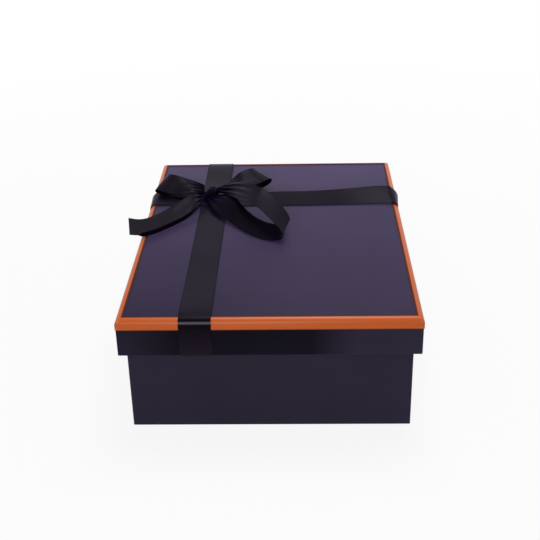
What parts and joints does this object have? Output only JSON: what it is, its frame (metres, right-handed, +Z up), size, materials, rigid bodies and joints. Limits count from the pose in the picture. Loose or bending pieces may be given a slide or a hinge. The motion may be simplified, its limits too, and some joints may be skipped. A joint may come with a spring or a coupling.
{
  "type": "gift box",
  "caption": "Rigid rectangular gift box with a lift-off lid, a coloured edge trim and a ribbon tied in a bow.",
  "frame": {"origin": "centre of the base's underside", "axes": "+Z up, the long side along Y, the front facing -Y, +X to the right as seen from the front"},
  "size_m": [0.2478, 0.3308, 0.1287],
  "materials": {
    "greyboard": "matt grey chipboard",
    "stay_tape": "matt kraft paper tape",
    "cover_paper": "gloss laminated paper",
    "lining_paper": "matt uncoated paper",
    "trim_paper": "satin coated paper",
    "satin_ribbon": "woven satin"
  },
  "bodies": {
    "base": {"base_board": "greyboard", "base_corner_stays": "stay_tape", "base_wrap": "cover_paper", "base_bottom_sheet": "lining_paper", "base_wall_liner": "lining_paper", "base_floor_liner": "lining_paper"},
    "lid": {"lid_board": "greyboard", "lid_corner_stays": "stay_tape", "lid_wrap": "cover_paper", "lid_liner": "lining_paper", "front_edge_trim": "trim_paper", "rear_edge_trim": "trim_paper", "left_edge_trim": "trim_paper", "right_edge_trim": "trim_paper", "long_ribbon": "satin_ribbon", "cross_ribbon": "satin_ribbon", "bow_knot": "satin_ribbon", "bow_left_loop": "satin_ribbon", "bow_right_loop": "satin_ribbon", "bow_left_tail": "satin_ribbon", "bow_right_tail": "satin_ribbon"}
  },
  "joints": [
    {"name": "lid_lift", "type": "slide", "parent": "base", "child": "lid", "axis": [0, 0, 1], "range_m": [0, 0.12]}
  ]
}
